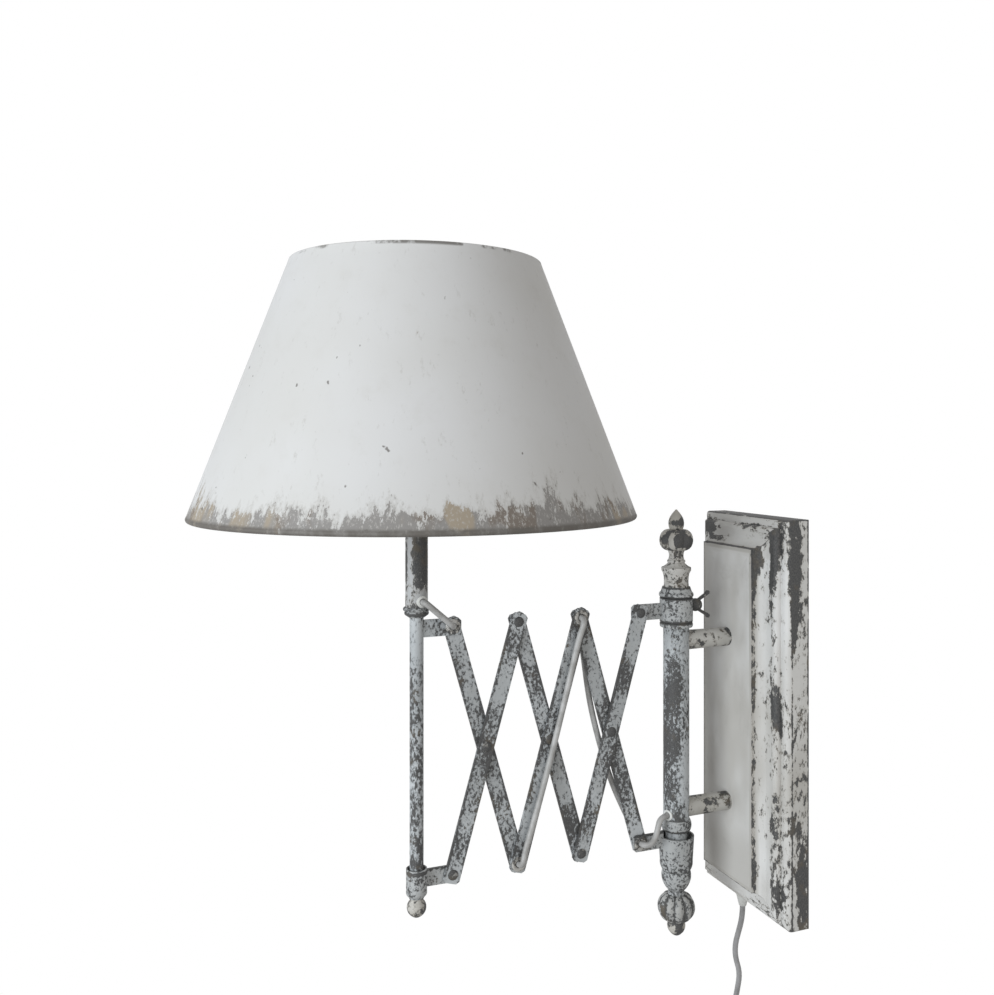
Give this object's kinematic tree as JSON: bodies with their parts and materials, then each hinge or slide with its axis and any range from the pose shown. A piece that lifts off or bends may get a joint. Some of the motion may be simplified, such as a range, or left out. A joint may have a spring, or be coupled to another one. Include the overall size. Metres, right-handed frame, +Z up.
{
  "type": "accordion wall lamp",
  "caption": "Wall lamp with a tall moulded wall plate, a turned column, a lazy-tongs arm that folds out, and a conical metal shade on a swivelling pole.",
  "frame": {"origin": "centre of the wall plate's back, on the wall", "axes": "+Z up, +Y into the wall, the arm reaches towards -Y"},
  "size_m": [0.3782, 0.5451, 0.8549],
  "materials": {
    "painted_metal": "worn off-white paint over dark steel",
    "shade_paint": "matt off-white paint, worn at the bottom edge",
    "bare_steel": "dark bare steel",
    "zinc_steel": "zinc plated",
    "white_rubber": "matt",
    "white_cord": "matt",
    "white_plastic": "satin",
    "black_plastic": "satin",
    "pin_metal": "polished"
  },
  "bodies": {
    "wall_unit": {"wall_plate": "painted_metal", "mounting_strap": "zinc_steel", "nipples": "zinc_steel", "nipple_nuts": "zinc_steel", "terminal_block": "white_plastic", "standoffs": "painted_metal", "column_tube": "painted_metal", "stop_ring": "painted_metal", "flange_ring": "painted_metal", "finial_cup": "painted_metal", "top_ball": "painted_metal", "top_bud": "painted_metal", "finial_stud": "bare_steel", "lower_bead": "painted_metal", "guide_rod": "painted_metal", "vase": "painted_metal", "melon_ball": "painted_metal", "tip_ball": "painted_metal", "lower_stud": "bare_steel", "column_grommet": "white_rubber", "inner_cords": "white_cord", "strain_relief": "white_rubber", "supply_cord_lead": "white_cord", "supply_cord_coil": "white_cord", "cord_tie": "white_plastic", "plug_body": "white_plastic", "plug_pins": "pin_metal"},
    "collar": {"upper_collar": "painted_metal", "rivet_collar": "bare_steel"},
    "wing_screw": {"wing_screw": "painted_metal"},
    "front_wall_bar": {"bar_front_wall": "painted_metal", "rivets_front_wall": "bare_steel"},
    "back_wall_bar": {"bar_back_wall": "painted_metal", "eyelet_back_wall": "bare_steel", "cord_back_wall": "white_cord"},
    "front_middle_bar": {"bar_front_middle": "painted_metal", "rivets_front_middle": "bare_steel", "cord_front_middle": "white_cord"},
    "back_middle_bar": {"bar_back_middle": "painted_metal", "rivet_back_middle": "bare_steel"},
    "front_lamp_bar": {"bar_front_lamp": "painted_metal", "rivets_front_lamp": "bare_steel"},
    "back_lamp_bar": {"bar_back_lamp": "painted_metal", "cord_back_lamp": "white_cord"},
    "lamp": {"pole_tube": "painted_metal", "eyelet_pole": "bare_steel", "stem_beads": "painted_metal", "stem_tube": "painted_metal", "stem_grommet": "white_rubber", "ball_finial": "painted_metal", "lampholder_base": "black_plastic", "lampholder_skirt": "black_plastic", "shade_ring_nut": "black_plastic", "shade_spider": "bare_steel", "shade": "shade_paint", "stem_cord": "white_cord"},
    "lamp_sleeve": {"lamp_sleeve": "painted_metal"},
    "lower_sleeve": {"lower_sleeve": "painted_metal", "eyelet_lower_sleeve": "bare_steel", "arm_cord_loop": "white_cord"}
  },
  "joints": [
    {"name": "swivel", "type": "hinge", "parent": "wall_unit", "child": "collar", "pos_m": [0, -0.1, 0.1025], "axis": [0, 0, 1], "range_deg": [-65, 65]},
    {"name": "wing_turn", "type": "hinge", "parent": "collar", "child": "wing_screw", "pos_m": [0, -0.08, 0.1055], "axis": [0, 1, 0], "range_deg": [-180, 180]},
    {"name": "fold", "type": "hinge", "parent": "collar", "child": "front_wall_bar", "pos_m": [0, -0.1395, 0.1015], "axis": [-1, 0, 0], "range_deg": [0, 10.93]},
    {"name": "cross_wall", "type": "hinge", "parent": "front_wall_bar", "child": "back_wall_bar", "pos_m": [0, -0.17025, -0.00672], "axis": [-1, 0, 0], "range_deg": [-21.86, 0]},
    {"name": "upper_pivot_wall", "type": "hinge", "parent": "back_wall_bar", "child": "front_middle_bar", "pos_m": [0, -0.201, 0.1015], "axis": [-1, 0, 0], "range_deg": [0, 21.86]},
    {"name": "cross_middle", "type": "hinge", "parent": "front_middle_bar", "child": "back_middle_bar", "pos_m": [0, -0.23175, -0.00672], "axis": [-1, 0, 0], "range_deg": [-21.86, 0]},
    {"name": "upper_pivot_lamp", "type": "hinge", "parent": "back_middle_bar", "child": "front_lamp_bar", "pos_m": [0, -0.2625, 0.1015], "axis": [-1, 0, 0], "range_deg": [0, 21.86]},
    {"name": "cross_lamp", "type": "hinge", "parent": "front_lamp_bar", "child": "back_lamp_bar", "pos_m": [0, -0.29325, -0.00672], "axis": [-1, 0, 0], "range_deg": [-21.86, 0]},
    {"name": "pole_pivot", "type": "hinge", "parent": "back_lamp_bar", "child": "lamp", "pos_m": [0, -0.324, 0.1015], "axis": [-1, 0, 0], "range_deg": [0, 10.93]},
    {"name": "lamp_sleeve_pivot", "type": "hinge", "parent": "front_lamp_bar", "child": "lamp_sleeve", "pos_m": [0, -0.324, -0.11493], "axis": [-1, 0, 0], "range_deg": [-10.93, 0]},
    {"name": "lower_sleeve_pivot", "type": "hinge", "parent": "back_wall_bar", "child": "lower_sleeve", "pos_m": [0, -0.1395, -0.11493], "axis": [-1, 0, 0], "range_deg": [0, 10.93]}
  ],
  "couplings": [
    {"joint": "cross_wall", "follows": "fold", "ratio": -2},
    {"joint": "upper_pivot_wall", "follows": "fold", "ratio": 2},
    {"joint": "cross_middle", "follows": "fold", "ratio": -2},
    {"joint": "upper_pivot_lamp", "follows": "fold", "ratio": 2},
    {"joint": "cross_lamp", "follows": "fold", "ratio": -2},
    {"joint": "pole_pivot", "follows": "fold", "ratio": 1},
    {"joint": "lamp_sleeve_pivot", "follows": "fold", "ratio": -1},
    {"joint": "lower_sleeve_pivot", "follows": "fold", "ratio": 1}
  ]
}
